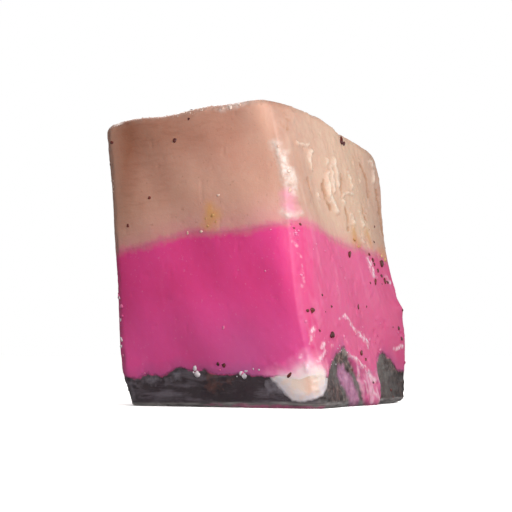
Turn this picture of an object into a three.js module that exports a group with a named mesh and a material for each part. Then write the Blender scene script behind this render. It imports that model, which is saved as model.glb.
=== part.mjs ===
// One hand-cut block of three-layer fudge, standing on its base.
// A thin base of marbled chocolate fudge was poured first, bright pink fudge went on it, and
// caramel fudge went on top. The slab was then cut with a knife, so no corner is square, every
// face drifts a little, and the layers meet along gently wavy surfaces that run right through.
//
// Millimetres, +Z up. The origin is in the middle of the box round the block, on its base.

import * as THREE from 'three';

// ---- driving dimensions ------------------------------------------------------------------

// Where the knife left the four corners of the foot, and the four corners of the top.
const FOOT = {
  frontLeft: [-11.3, -12.1], frontRight: [15.0, -13.0],
  backLeft: [-11.9, 13.3], backRight: [14.7, 13.9],
};
const TOP = {
  frontLeft: [-13.4, -12.9], frontRight: [10.7, -14.6],
  backLeft: [-14.0, 12.6], backRight: [11.4, 13.3],
};

// Heights above the foot at the same four corners: of the top face, of the line where caramel
// meets pink, and of the line where pink meets the marbled base.
const TOP_HEIGHT = { frontLeft: 33.4, frontRight: 35.0, backLeft: 32.4, backRight: 31.4 };
const CARAMEL_LINE = { frontLeft: 18.1, frontRight: 21.1, backLeft: 17.2, backRight: 17.0 };
const MARBLED_LINE = { frontLeft: 3.9, frontRight: 4.4, backLeft: 5.2, backRight: 6.3 };

const CROWN = 0.4;              // how far the top swells in its middle
const CARAMEL_LINE_WAVE = 0.35; // how far the two lines between layers rise and fall
const MARBLED_LINE_WAVE = 0.4;

const CORNER_RADIUS = 1.3;      // of the four upright edges
const TOP_EDGE_RADIUS = 1.1;
const FOOT_EDGE_RADIUS = 0.8;
const MEAN_HALF_WIDTH = 13.2;   // turns the radii above into shares of the block's half width
const FLAT_FOOT_RISE = 4;       // the foot's flatness fades out over this height

// Long, low waves that the knife left in the walls: [depth, length along, length up, phase].
const DRIFT_X = [[0.12, 15.0, 23.0, 0.6], [0.06, 8.5, 11.0, 2.1]];
const DRIFT_Y = [[0.12, 17.0, 19.0, 1.9], [0.06, 7.5, 12.5, 0.3]];
const DRIFT_Z = [[0.12, 16.0, 21.0, 1.1], [0.08, 9.0, 8.0, 2.7]];

// Places where the fudge swells or was knocked in: [centre, push, radius over which it fades].
const PUSHES = [
  [[14.4, 12.8, 9.6], [1.1, 0.3, 0], 5.6],       // swell low on the back right edge
  [[2.0, -13.4, 4.6], [0, -0.35, 0], 4.5],       // swell where the base meets the front
  [[-3.0, -13.6, 17.0], [0, 0.35, 0], 6.5],      // hollow in the front wall
  [[-12.0, -12.4, 0.6], [1.0, 0.5, 0], 2.0],     // trimmed front left foot corner
  [[11.2, -14.8, 35.2], [-0.3, 0.4, -0.5], 2.6], // softened front right top corner
  [[12.0, 13.8, 31.6], [-0.4, -0.4, -0.4], 2.2], // crumbled back right top corner
  [[-13.6, 4.0, 33.0], [0.7, 0, -0.5], 2.2],     // knock in the left top edge
  [[-4.0, 13.4, 1.2], [0, -0.6, 0], 2.0],        // knock in the back foot edge
  [[-13.2, 3.0, 13.0], [-0.5, 0, 0], 6.0],       // swell in the left wall
];

// How finely the faces are divided.
const STEPS_ALONG_SIDE = 12;
const STEPS_ROUND_CORNER = 4;
const STEPS_ROUND_EDGE = 3;
const ROW_HEIGHT = 1.6;
const RINGS_IN_TOP_OR_FOOT = 7;
const RINGS_BETWEEN_LAYERS = 5;

// ---- the block's form --------------------------------------------------------------------

// A place in the block is (u, v, t): u runs from -1 at the left wall to 1 at the right, v from
// -1 at the front to 1 at the back, and t from 0 at the foot to 1 at the top.

function acrossBlock(corners, u, v) {
  const right = (1 + u) / 2;
  const back = (1 + v) / 2;
  const blend = (fl, fr, bl, br) =>
    (fl * (1 - right) + fr * right) * (1 - back) + (bl * (1 - right) + br * right) * back;
  const { frontLeft, frontRight, backLeft, backRight } = corners;
  if (typeof frontLeft === 'number') {
    return blend(frontLeft, frontRight, backLeft, backRight);
  }
  return frontLeft.map((_, i) => blend(frontLeft[i], frontRight[i], backLeft[i], backRight[i]));
}

function topHeight(u, v) {
  return acrossBlock(TOP_HEIGHT, u, v) + CROWN * (1 - 0.5 * (u * u + v * v));
}

// The two surfaces between the layers, as shares t of the block's height.
function caramelLine(u, v) {
  const wave = Math.sin(2.2 * u - 1.4 * v + 0.7) + 0.5 * Math.sin(4.6 * u + 3.4 * v);
  return (acrossBlock(CARAMEL_LINE, u, v) + CARAMEL_LINE_WAVE * wave) / topHeight(u, v);
}

function marbledLine(u, v) {
  const wave = Math.sin(2.6 * u + 2.0 * v + 2.4) + 0.5 * Math.sin(5.5 * v - 3.0 * u);
  return (acrossBlock(MARBLED_LINE, u, v) + MARBLED_LINE_WAVE * wave) / topHeight(u, v);
}

function drift(waves, along, up) {
  let sum = 0;
  for (const [depth, lengthAlong, lengthUp, phase] of waves) {
    sum += depth * Math.sin(2 * Math.PI * (along / lengthAlong + up / lengthUp) + phase);
  }
  return sum;
}

// Bends the ruled block into the real one. The foot stays flat, because nothing lifts it.
function bend(point) {
  const { x, y, z } = point;
  const aboveFoot = Math.min(1, z / FLAT_FOOT_RISE);
  point.x += drift(DRIFT_X, y, z);
  point.y += drift(DRIFT_Y, x, z);
  point.z += drift(DRIFT_Z, x + y, z) * aboveFoot;
  for (const [at, push, radius] of PUSHES) {
    const away = Math.hypot(x - at[0], y - at[1], z - at[2]) / radius;
    const share = Math.exp(-away * away);
    point.x += push[0] * share;
    point.y += push[1] * share;
    point.z += push[2] * share * aboveFoot;
  }
  return point;
}

function blockPoint(u, v, t) {
  const foot = acrossBlock(FOOT, u, v);
  const top = acrossBlock(TOP, u, v);
  const x = foot[0] + (top[0] - foot[0]) * t;
  const y = foot[1] + (top[1] - foot[1]) * t;
  return bend(new THREE.Vector3(x, y, topHeight(u, v) * t));
}

// ---- rings round the block ---------------------------------------------------------------

// The (u, v) places round a square with rounded corners, anticlockwise from above.
function rimPlaces() {
  const radius = CORNER_RADIUS / MEAN_HALF_WIDTH;
  const flat = 1 - radius;
  const places = [];
  for (let side = 0; side < 4; side++) {
    const turn = (side * Math.PI) / 2;
    const place = (u, v) => [
      u * Math.cos(turn) - v * Math.sin(turn),
      u * Math.sin(turn) + v * Math.cos(turn),
    ];
    for (let i = 0; i < STEPS_ALONG_SIDE; i++) {
      places.push(place(-flat + (2 * flat * i) / STEPS_ALONG_SIDE, -1));
    }
    for (let i = 0; i < STEPS_ROUND_CORNER; i++) {
      const angle = ((i / STEPS_ROUND_CORNER) * Math.PI) / 2;
      places.push(place(flat + radius * Math.sin(angle), -flat - radius * Math.cos(angle)));
    }
  }
  return places;
}

const RIM = rimPlaces();

// A ring is the rim drawn in to a share of its size, at the height share that heightAt gives.
function ring(size, heightAt) {
  const points = RIM.map(([u, v]) => blockPoint(u * size, v * size, heightAt(u * size, v * size)));
  return { size, points };
}

function middle(heightAt) {
  return { size: 0, points: [blockPoint(0, 0, heightAt(0, 0))] };
}

// A flat-lying surface through the block, as rings from its middle out to the wall.
function spreadOut(heightAt, count, outerSize) {
  const rings = [middle(heightAt)];
  for (let i = 1; i <= count; i++) {
    rings.push(ring((outerSize * i) / count, heightAt));
  }
  return rings;
}

// The straight part of the wall between two surfaces, without its first and last ring.
function wallRows(from, to, tallest) {
  const count = Math.ceil(tallest / ROW_HEIGHT);
  const rows = [];
  for (let i = 1; i < count; i++) {
    rows.push(ring(1, (u, v) => from(u, v) + ((to(u, v) - from(u, v)) * i) / count));
  }
  return rows;
}

// The rounded edge round the foot or the top, as rings from the wall's end inwards.
// sign is 1 at the top and -1 at the foot.
function roundedEdge(radius, sign) {
  const rings = [];
  for (let i = 0; i <= STEPS_ROUND_EDGE; i++) {
    const angle = ((i / STEPS_ROUND_EDGE) * Math.PI) / 2;
    const drawnIn = (radius * (1 - Math.cos(angle))) / MEAN_HALF_WIDTH;
    const fromEnd = radius * (1 - Math.sin(angle));
    const heightAt = (u, v) => (sign > 0 ? 1 - fromEnd / topHeight(u, v) : fromEnd / topHeight(u, v));
    rings.push(ring(1 - drawnIn, heightAt));
  }
  return rings;
}

// ---- closed solids from rings ------------------------------------------------------------

// Joins rings, listed from the bottom middle up the outside to the top middle, into one closed
// skin. Each four-sided patch is split from its wider ring, so that two layers that share a
// surface share its triangles too.
function closedSkin(rings) {
  const positions = [];
  const starts = rings.map(({ points }) => {
    const start = positions.length / 3;
    points.forEach((p) => positions.push(p.x, p.y, p.z));
    return start;
  });
  const triangles = [];
  for (let r = 0; r + 1 < rings.length; r++) {
    const [low, high] = [starts[r], starts[r + 1]];
    for (let i = 0; i < RIM.length; i++) {
      const j = (i + 1) % RIM.length;
      if (rings[r].points.length === 1) {
        triangles.push(low, high + j, high + i);
      } else if (rings[r + 1].points.length === 1) {
        triangles.push(low + i, low + j, high);
      } else if (rings[r].size >= rings[r + 1].size) {
        triangles.push(low + i, low + j, high + j, low + i, high + j, high + i);
      } else {
        triangles.push(low + i, low + j, high + i, low + j, high + j, high + i);
      }
    }
  }
  const geometry = new THREE.BufferGeometry();
  geometry.setAttribute('position', new THREE.Float32BufferAttribute(positions, 3));
  geometry.setIndex(triangles);
  geometry.computeVertexNormals();
  return geometry;
}

// ---- the three layers --------------------------------------------------------------------

function marbledLayer() {
  const foot = () => 0;
  const edge = roundedEdge(FOOT_EDGE_RADIUS, -1).reverse();
  const edgeTop = (u, v) => FOOT_EDGE_RADIUS / topHeight(u, v);
  return closedSkin([
    ...spreadOut(foot, RINGS_IN_TOP_OR_FOOT, edge[0].size).slice(0, -1),
    ...edge,
    ...wallRows(edgeTop, marbledLine, MARBLED_LINE.backRight),
    ...spreadOut(marbledLine, RINGS_BETWEEN_LAYERS, 1).reverse(),
  ]);
}

function pinkLayer() {
  return closedSkin([
    ...spreadOut(marbledLine, RINGS_BETWEEN_LAYERS, 1),
    ...wallRows(marbledLine, caramelLine, CARAMEL_LINE.frontRight - MARBLED_LINE.frontRight),
    ...spreadOut(caramelLine, RINGS_BETWEEN_LAYERS, 1).reverse(),
  ]);
}

function caramelLayer() {
  const top = () => 1;
  const edge = roundedEdge(TOP_EDGE_RADIUS, 1);
  const edgeFoot = (u, v) => 1 - TOP_EDGE_RADIUS / topHeight(u, v);
  return closedSkin([
    ...spreadOut(caramelLine, RINGS_BETWEEN_LAYERS, 1),
    ...wallRows(caramelLine, edgeFoot, TOP_HEIGHT.frontRight - CARAMEL_LINE.frontRight),
    ...edge,
    ...spreadOut(top, RINGS_IN_TOP_OR_FOOT, edge.at(-1).size).slice(0, -1).reverse(),
  ]);
}

function layerMesh(name, geometry, color, roughness) {
  const material = new THREE.MeshStandardMaterial({ color, roughness, metalness: 0 });
  material.name = name;
  const mesh = new THREE.Mesh(geometry, material);
  mesh.name = name;
  return mesh;
}

const layers = [
  layerMesh('marbled_layer', marbledLayer(), 0x3a2c33, 0.42),
  layerMesh('pink_layer', pinkLayer(), 0xcc4a82, 0.45),
  layerMesh('caramel_layer', caramelLayer(), 0xc89b84, 0.48),
];

// The bends moved the walls a little, so the whole block is set back over its origin.
const group = new THREE.Group();
group.add(...layers);
const middleOfBox = new THREE.Box3().setFromObject(group).getCenter(new THREE.Vector3());
layers.forEach((layer) => layer.geometry.translate(-middleOfBox.x, -middleOfBox.y, 0));

export default group;
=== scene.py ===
import math

import bmesh
import bpy
import numpy as np
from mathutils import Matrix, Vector


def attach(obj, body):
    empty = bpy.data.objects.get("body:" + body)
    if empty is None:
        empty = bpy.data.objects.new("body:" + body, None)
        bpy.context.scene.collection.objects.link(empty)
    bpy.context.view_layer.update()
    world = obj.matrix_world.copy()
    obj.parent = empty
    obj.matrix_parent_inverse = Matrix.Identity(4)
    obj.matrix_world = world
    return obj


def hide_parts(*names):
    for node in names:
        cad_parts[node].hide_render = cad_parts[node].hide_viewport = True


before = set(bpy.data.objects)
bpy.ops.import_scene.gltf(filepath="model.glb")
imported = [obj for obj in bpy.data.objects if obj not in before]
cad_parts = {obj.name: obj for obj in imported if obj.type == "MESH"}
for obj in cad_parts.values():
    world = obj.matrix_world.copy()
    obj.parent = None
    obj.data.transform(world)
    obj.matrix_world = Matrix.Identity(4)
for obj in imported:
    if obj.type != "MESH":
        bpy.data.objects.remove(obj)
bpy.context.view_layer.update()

# ==========================================================================================
# The marbled base: dark chocolate fudge with cream and pink fudge stirred through it, poured
# first, so its foot set flat in the tray. It is cut with the layers above it, in one stroke
# of a knife that leaves walls out of square, dragged marks, crumbled edges and grey bloom,
# part of it painted sheen.
# ==========================================================================================

MM = 0.001
HALF_WIDTH = 13.2          # mm, turns a radius into a share of the block's half width
CORNER_RADIUS = 1.3        # mm, the upright edges
TOP_EDGE_RADIUS = 1.1
FOOT_EDGE_RADIUS = 0.8
FLAT_FOOT_RISE = 4.0       # mm, above this the waves and knocks are at their full depth
CROWN = 0.4                # mm, how far the top's middle stands over its rim
CARAMEL_LINE_WAVE = 0.35   # mm, how far the lines between the layers wander
MARBLED_LINE_WAVE = 0.4

# Each in the order front left, front right, back left, back right, in mm.
FOOT_X = (-11.3, 15.0, -11.9, 14.7)
FOOT_Y = (-12.1, -13.0, 13.3, 13.9)
TOP_X = (-13.4, 10.7, -14.0, 11.4)
TOP_Y = (-12.9, -14.6, 12.6, 13.3)
TOP_HEIGHT = (33.4, 35.0, 32.4, 31.4)
CARAMEL_LINE = (18.1, 21.1, 17.2, 17.0)
MARBLED_LINE = (3.9, 4.4, 5.2, 6.3)

# Long, low waves that the knife left: (depth, length along, length up, phase), mm.
DRIFT_X = ((0.12, 15.0, 23.0, 0.6), (0.06, 8.5, 11.0, 2.1))
DRIFT_Y = ((0.12, 17.0, 19.0, 1.9), (0.06, 7.5, 12.5, 0.3))
DRIFT_Z = ((0.12, 16.0, 21.0, 1.1), (0.08, 9.0, 8.0, 2.7))

# Swells and knocks: (centre, push, radius over which it fades), mm.
PUSHES = (
    ((14.4, 12.8, 9.6), (1.1, 0.3, 0), 5.6),
    ((2.0, -13.4, 4.6), (0, -0.35, 0), 4.5),
    ((-3.0, -13.6, 17.0), (0, 0.35, 0), 6.5),
    ((-12.0, -12.4, 0.6), (1.0, 0.5, 0), 2.0),
    ((11.2, -14.8, 35.2), (-0.3, 0.4, -0.5), 2.6),
    ((12.0, 13.8, 31.6), (-0.4, -0.4, -0.4), 2.2),
    ((-13.6, 4.0, 33.0), (0.7, 0, -0.5), 2.2),
    ((-4.0, 13.4, 1.2), (0, -0.6, 0), 2.0),
    ((-13.2, 3.0, 13.0), (-0.5, 0, 0), 6.0),
)

# The base's upper line on the front and right walls, where two dark peaks stand up into the
# pink: (place, height) in mm. Place runs along both walls, as (x + y) / sqrt 2.
BASE_LINE = (
    (-16.4, 3.2), (-14.7, 3.4), (-12.3, 3.8), (-10.5, 4.3), (-8.2, 4.1), (-5.8, 3.8), (-4.6, 3.5),
    (-1.0, 3.4), (1.0, 3.4), (2.6, 3.4), (3.3, 4.6), (4.2, 5.6), (5.4, 6.4), (6.4, 6.8), (7.1, 6.0),
    (8.2, 4.6), (10.0, 3.8), (12.5, 4.3), (13.3, 5.1), (13.9, 5.8), (14.4, 6.2), (15.2, 6.3),
    (15.9, 5.9), (16.6, 5.1), (17.3, 4.3), (18.1, 3.9), (19.2, 3.7),
)


def across(corners, u, v):
    """Blends four corner values; u is -1 at the left and 1 at the right, v from front to back."""
    right, back = (1 + u) / 2, (1 + v) / 2
    front_left, front_right, back_left, back_right = corners
    front_value = front_left * (1 - right) + front_right * right
    back_value = back_left * (1 - right) + back_right * right
    return front_value * (1 - back) + back_value * back


def top_height(u, v):
    return across(TOP_HEIGHT, u, v) + CROWN * (1 - 0.5 * (u * u + v * v))


def caramel_line(u, v):
    """Where caramel meets pink, as a share of the height."""
    wave = np.sin(2.2 * u - 1.4 * v + 0.7) + 0.5 * np.sin(4.6 * u + 3.4 * v)
    small = 0.10 * np.sin(17 * u + 3 * v) * np.sin(11 * v + 1.0)
    return (across(CARAMEL_LINE, u, v) + CARAMEL_LINE_WAVE * wave + small) / top_height(u, v)


def marbled_line(u, v):
    """Where pink meets the marbled base, as a share of the height."""
    wave = np.sin(2.6 * u + 2.0 * v + 2.4) + 0.5 * np.sin(5.5 * v - 3.0 * u)
    plain = across(MARBLED_LINE, u, v) + MARBLED_LINE_WAVE * wave
    seen = np.interp(0.6 + 9.5 * (v + 1) - 8.6 * (1 - u), *np.transpose(BASE_LINE))
    at_seen_walls = np.clip((np.maximum(u, -v) - 0.55) / 0.4, 0, 1) ** 2
    ragged = 0.13 * np.sin(23 * u + 2 * v + 0.5) + 0.10 * np.sin(31 * v - 19 * u)
    return (plain + (seen - plain) * at_seen_walls + ragged) / top_height(u, v)


def drift(waves, along, up):
    total = 0
    for depth, length_along, length_up, phase in waves:
        total = total + depth * np.sin(2 * np.pi * (along / length_along + up / length_up) + phase)
    return total


def block_point(u, v, t):
    """A point of the cut block in mm; t is 0 at the foot, which stays flat, and 1 at the top."""
    x = across(FOOT_X, u, v) * (1 - t) + across(TOP_X, u, v) * t
    y = across(FOOT_Y, u, v) * (1 - t) + across(TOP_Y, u, v) * t
    z = top_height(u, v) * t
    above_foot = np.clip(z / FLAT_FOOT_RISE, 0, 1)
    drifts = (drift(DRIFT_X, y, z), drift(DRIFT_Y, x, z), drift(DRIFT_Z, x + y, z) * above_foot)
    moved = np.stack([x + drifts[0], y + drifts[1], z + drifts[2]], -1)
    for (cx, cy, cz), push, radius in PUSHES:
        share = np.exp(-((x - cx) ** 2 + (y - cy) ** 2 + (z - cz) ** 2) / radius**2)
        moved[..., 0] += push[0] * share
        moved[..., 1] += push[1] * share
        moved[..., 2] += push[2] * share * above_foot
    return moved


def round_square(a, b):
    """Rounds the corners of the square that (a, b) lies on."""
    radius = CORNER_RADIUS / HALF_WIDTH
    size = np.maximum(np.abs(a), np.abs(b))
    lesser = np.minimum(np.abs(a), np.abs(b)) / np.where(size > 0, size, 1)
    turn = np.clip((lesser - (1 - radius)) / radius, 0, 1) * np.pi / 4
    long_side = 1 - radius + radius * np.cos(turn)
    short_side = np.where(turn > 0, 1 - radius + radius * np.sin(turn), lesser)
    wide = np.abs(a) >= np.abs(b)
    u = np.sign(a) * np.where(wide, long_side, short_side) * size
    v = np.sign(b) * np.where(wide, short_side, long_side) * size
    return u, v


# The skin is rings of small cells up the walls, closed by a square of cells above and below.
CELLS = 152      # along one side, a multiple of 8; 152 makes them 0.17 mm
RING = 4 * CELLS
ROW = 2 * HALF_WIDTH / CELLS
EDGE_ROWS = 8

side = np.linspace(-1, 1, CELLS + 1)[:-1]
one = np.ones(CELLS)
rim_u, rim_v = round_square(
    np.concatenate([side, one, -side, -one]),
    np.concatenate([-one, side, one, -side]),
)
rim_height = top_height(rim_u, rim_v)
sizes, shares = [], []                 # of each ring: how wide it is, and how high it lies


def add_edge(radius, start, end):
    """Rings round the foot's or the top's edge; 0 is drawn right in and 1 is at the wall."""
    for step in range(start, end, 1 if end > start else -1):
        angle = (1 - step / EDGE_ROWS) * math.pi / 2
        sizes.append(1 - radius * (1 - math.cos(angle)) / HALF_WIDTH)
        gap = radius * (1 - math.sin(angle)) / rim_height
        shares.append(gap if end > start else 1 - gap)


def add_wall(high, thickness):
    """Rings from the last one up to and with a higher line; gives the number of its ring."""
    low = shares[-1]
    rows = round(thickness / ROW)
    for row in range(1, rows + 1):
        sizes.append(1.0)
        shares.append(low + (high - low) * row / rows)
    return len(sizes) - 1


add_edge(FOOT_EDGE_RADIUS, 0, EDGE_ROWS + 1)
marbled_ring = add_wall(marbled_line(rim_u, rim_v), MARBLED_LINE[2])
caramel_ring = add_wall(caramel_line(rim_u, rim_v), CARAMEL_LINE[2] - MARBLED_LINE[2])
add_wall(1 - TOP_EDGE_RADIUS / rim_height, TOP_HEIGHT[2] - CARAMEL_LINE[2])
add_edge(TOP_EDGE_RADIUS, EDGE_ROWS - 1, -1)
top_ring = len(sizes) - 1

inner = np.linspace(-1, 1, CELLS + 1)[1:-1]
cap_u, cap_v = round_square(*np.meshgrid(inner, inner, indexing="ij"))
wall_size = np.array(sizes)[:, None]
cap_sizes = np.repeat([sizes[0], sizes[-1]], cap_u.size)
skin_u = np.concatenate([(rim_u * wall_size).ravel(), np.tile(cap_u.ravel(), 2) * cap_sizes])
skin_v = np.concatenate([(rim_v * wall_size).ravel(), np.tile(cap_v.ravel(), 2) * cap_sizes])
skin_t = np.concatenate([np.array(shares).ravel(), np.zeros(cap_u.size), np.ones(cap_u.size)])
skin = block_point(skin_u, skin_v, skin_t)
off_centre = np.append((skin.max(0) + skin.min(0))[:2] / 2, 0)
skin -= off_centre


def cap_cells(ring, first_inner):
    """The cells of the top or the foot inside a ring, facing up."""
    step = np.arange(CELLS)
    start = ring * RING
    index = np.zeros((CELLS + 1, CELLS + 1), int)
    index[1:-1, 1:-1] = first_inner + np.arange((CELLS - 1) ** 2).reshape(CELLS - 1, -1)
    index[step, 0] = start + step
    index[CELLS, step] = start + CELLS + step
    index[CELLS - step, CELLS] = start + 2 * CELLS + step
    index[0, CELLS - step] = start + 3 * CELLS + step
    return np.stack([index[:-1, :-1], index[1:, :-1], index[1:, 1:], index[:-1, 1:]], -1).reshape(-1, 4)


def wall_cells(low_ring, high_ring):
    column = np.arange(RING)
    following = (column + 1) % RING
    low = np.arange(low_ring, high_ring)[:, None] * RING
    high = low + RING
    return np.stack([low + column, low + following, high + following, high + column], -1).reshape(-1, 4)


foot_cells = cap_cells(0, (top_ring + 1) * RING)[:, ::-1]
top_cells = cap_cells(top_ring, (top_ring + 1) * RING + cap_u.size)
all_cells = np.concatenate([foot_cells, wall_cells(0, top_ring), top_cells])


def normals_of(points):
    """A unit normal at each point of the skin, from the cells that meet there."""
    corners = points[all_cells]
    cell_normals = np.cross(corners[:, 2] - corners[:, 0], corners[:, 3] - corners[:, 1])
    normals = np.zeros_like(points)
    for axis in range(3):
        for corner in range(4):
            normals[:, axis] += np.bincount(all_cells[:, corner], cell_normals[:, axis], len(points))
    return normals / np.linalg.norm(normals, axis=1, keepdims=True)


LATTICE_SIDE = 64
LATTICE = np.random.default_rng(29).uniform(-1, 1, (LATTICE_SIDE,) * 3)
LATTICE_SHIFT = 17.3


def lumps(points, size, stretch=(1, 1, 1)):
    """Smooth noise between -1 and 1 with lumps about size mm across. Points that are shifted,
    as in skin + 40, give a pattern of their own."""
    place = points / (np.array(stretch) * size) + LATTICE_SHIFT
    cell = np.floor(place).astype(int)
    part = place - cell
    part = part * part * (3 - 2 * part)
    total = 0
    for corner in range(8):
        step = np.array([corner & 1, corner >> 1 & 1, corner >> 2 & 1])
        weight = np.prod(np.where(step, part, 1 - part), -1)
        i, j, k = np.moveaxis((cell + step) % LATTICE_SIDE, -1, 0)
        total = total + weight * LATTICE[i, j, k]
    return total


def ease(value, low, high):
    """0 below low and 1 above high, or the other way round, with a soft start and end."""
    share = np.clip((value - low) / (high - low), 0, 1)
    return share * share * (3 - 2 * share)


def corner_gaps(u, v):
    """How far points are from the nearest upright edge, along the wall and inward, in mm."""
    outward = np.maximum(np.abs(u), np.abs(v))
    sideward = np.minimum(np.abs(u), np.abs(v)) / np.maximum(outward, 0.01)
    return (1 - sideward) * HALF_WIDTH, (1 - outward) * HALF_WIDTH


facing = normals_of(skin)

# Heights in mm above the tray, the base's upper line and the pink's, and how far back it lies.
full_height = top_height(skin_u, skin_v)
height = skin_t * full_height
over_base = (skin_t - marbled_line(skin_u, skin_v)) * full_height
over_pink = (skin_t - caramel_line(skin_u, skin_v)) * full_height
behind_front = (1 + skin_v) * HALF_WIDTH

# How far each point is from the nearest edge of the block, in mm.
on_cap = (skin_t <= 0) | (skin_t >= 1)
ridge_gap, inland_gap = corner_gaps(skin_u, skin_v)
to_rim = np.minimum(ridge_gap, np.minimum(height, full_height - height))
edge_gap = np.where(on_cap, inland_gap, to_rim)

# Fudge stirred into the base where it shows on the front and right walls: outlines of
# (place, height) in mm, with place as in BASE_LINE.
CREAM_FOLD = (
    (-3.3, 3.4), (-2.8, 2.7), (-2.3, 2.0), (-1.8, 1.3), (-1.4, 0.9), (-0.4, 0.8), (0.7, 1.1),
    (1.5, 1.5), (2.2, 2.3), (2.6, 3.2), (2.7, 4.3), (2.0, 5.0), (1.0, 5.5), (0.0, 6.0), (-0.6, 5.4),
    (-1.3, 4.9), (-1.8, 4.5), (-2.4, 4.2), (-3.0, 4.0), (-3.6, 3.8),
)
PINK_DRIP = (
    (6.5, 8.0), (6.9, 6.5), (6.6, 5.9), (7.2, 5.2), (8.2, 3.8), (8.8, 2.6), (9.7, 1.1), (10.6, -1.0),
    (13.6, -1.0), (13.5, 1.0), (13.3, 2.9), (12.9, 4.5), (13.3, 5.7), (14.4, 6.6), (14.4, 8.0),
)
PINK_HEM = ((-9.0, 0.05), (-4.0, 0.30), (-1.0, 0.22), (1.8, 0.02), (2.0, -1.0), (-9.5, -1.0))
PURPLE_FILM = (
    (4.9, 4.9), (5.9, 4.7), (6.9, 3.9), (7.8, 2.8), (8.5, 1.5), (9.2, -1.0), (7.5, -1.0), (6.7, 1.0),
    (5.6, 2.3), (4.8, 3.5),
)
BEYOND_OUTLINES = 99.0                 # mm, before a gap is measured


def depth_in(outline):
    """How deep each point of the skin lies inside an outline, in mm, less than 0 outside it. The
    outlines hold near the front and right walls, and every point well inland is outside."""
    place = np.stack([(skin[:, 0] + skin[:, 1]) / math.sqrt(2), skin[:, 2]], -1)
    gap = np.full(len(skin), BEYOND_OUTLINES)
    inside = np.zeros(len(skin), bool)
    corners = np.array(outline)
    for start, end in zip(corners, np.roll(corners, -1, 0)):
        edge = end - start
        along = np.clip((place - start) @ edge / (edge @ edge), 0, 1)
        gap = np.minimum(gap, np.linalg.norm(place - start - along[:, None] * edge, axis=1))
        level = (start[1] > place[:, 1]) != (end[1] > place[:, 1])
        crossing = start[0] + (place[:, 1] - start[1]) * edge[0] / (edge[1] or 1)
        inside ^= level & (place[:, 0] < crossing)
    inland = np.minimum(skin[:, 1] - skin[:, 1].min(), skin[:, 0].max() - skin[:, 0])
    return np.where(inside, gap, -gap) - 8.0 * ease(inland, 2.0, 6.0)


folded_cream = depth_in(CREAM_FOLD)
dripping = np.maximum(depth_in(PINK_DRIP), depth_in(PINK_HEM)) + 0.25 * lumps(skin, 1.6)
outside_fold = ease(folded_cream, 0.2, -0.8)

# What the knife and the crumbling did to every layer. The right and back walls were cut
# last and roughest, and are paler, partly from a dried film and partly from painted sheen; the front
# and the left are smoother.
on_wall = np.where(on_cap, 0.0, 1.0)
on_front = on_wall * ease(-facing[:, 1], 0.55, 0.85)
on_right = on_wall * ease(facing[:, 0], 0.30, 0.97)
on_back = on_wall * ease(facing[:, 1], 0.30, 0.97)
on_top = np.where(skin_t >= 1, 1.0, 0.0)
torn_walls = on_right + on_back
rough_cut = np.clip(0.25 * on_wall + 0.75 * torn_walls + 0.5 * on_top, 0, 1)

# The blade's drag marks lean with its stroke and are up to four times as tall as wide.
BLADE_LEAN = np.array([0.12, 0.35, 0])
slanted = skin + skin[:, 2:] * BLADE_LEAN
drag = lumps(slanted, 1.0, (1, 1, 3.5)) + 0.7 * lumps(slanted, 0.5, (1, 1, 4))
drag *= 0.35 + 0.65 * ease(lumps(skin + 11, 2.6, (1, 1, 2)), -0.3, 0.5)


def ridge_side(u, v, height):
    """1 in the quarter by the ridge between the front and right walls, fading at the foot."""
    return (u > 0) * (v < 0) * ease(height, -4.0, 8.0)


# How far each mark of the relief stands out or sinks in, in mm. The knob is a lump of pink that
# the knife pushed up by the right wall's back edge.
SWELLS = 0.02
SMOOTH_CUT = 0.010
ROUGH_CUT = 0.020
FINE_GRAIN = 0.012
TORN_GRAIN = 0.035
DRAG_MARKS = 0.03
TORN_BUMPS = 0.08
CHIPS = 0.20
CRUMBLING = 0.07
PITS = 0.10
BASE_GROOVE = 0.08
KNOB = 0.35
KNOB_PLACE = np.array([13.9, 12.4, 11.7])
KNOB_SIZE = np.array([3, 1.6, 0.9])

by_ridge = ridge_side(skin_u, skin_v, height)
at_ridge = by_ridge * ease(ridge_gap + inland_gap, 2.6, 1.2) * ease(height, 3.0, 7.0)
crumble = ease(edge_gap, 1.2, 0.0) * (1 - 0.7 * at_ridge)
chips = ease(lumps(skin, 1.5) + 0.5 * lumps(skin, 0.7), 0.25, 0.75)
pits = ease(lumps(skin + 40, 0.75), 0.62, 0.80)
relief = SWELLS * lumps(skin, 5.2) + (SMOOTH_CUT + ROUGH_CUT * rough_cut) * lumps(skin, 1.7)
relief += FINE_GRAIN * lumps(skin, 0.6)
relief += TORN_GRAIN * torn_walls * lumps(skin + 50, 0.42) * ease(lumps(skin + 5, 1.9), -0.5, 0.4)
relief += DRAG_MARKS * drag * rough_cut * on_wall * (0.6 + 0.4 * ease(over_pink, -1.0, 1.0))
bumpy = np.maximum(lumps(skin + 70, 0.9), 0) + 0.7 * np.maximum(lumps(skin + 90, 0.45), 0)
relief += TORN_BUMPS * bumpy * ease(lumps(skin + 20, 3.5), -0.25, 0.45) * torn_walls
relief += KNOB * np.exp(-(((skin - KNOB_PLACE) / KNOB_SIZE) ** 2).sum(1))
relief -= crumble * (CHIPS * chips + CRUMBLING * np.abs(lumps(skin, 0.55)))
relief -= PITS * pits * (0.2 + 0.8 * rough_cut)
groove = np.exp(-((over_base / 0.28) ** 2)) * (0.6 + 0.8 * lumps(skin, 2.6))
relief -= BASE_GROOVE * on_wall * groove * outside_fold * ease(dripping, 0.3, -0.3)
relief = np.where(skin_t <= 0, 0, relief)
skin += facing * relief[:, None]

RIDGE_WEAR = 0.75                      # mm
RIDGE_WEAR_RADIUS = 2.0


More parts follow.
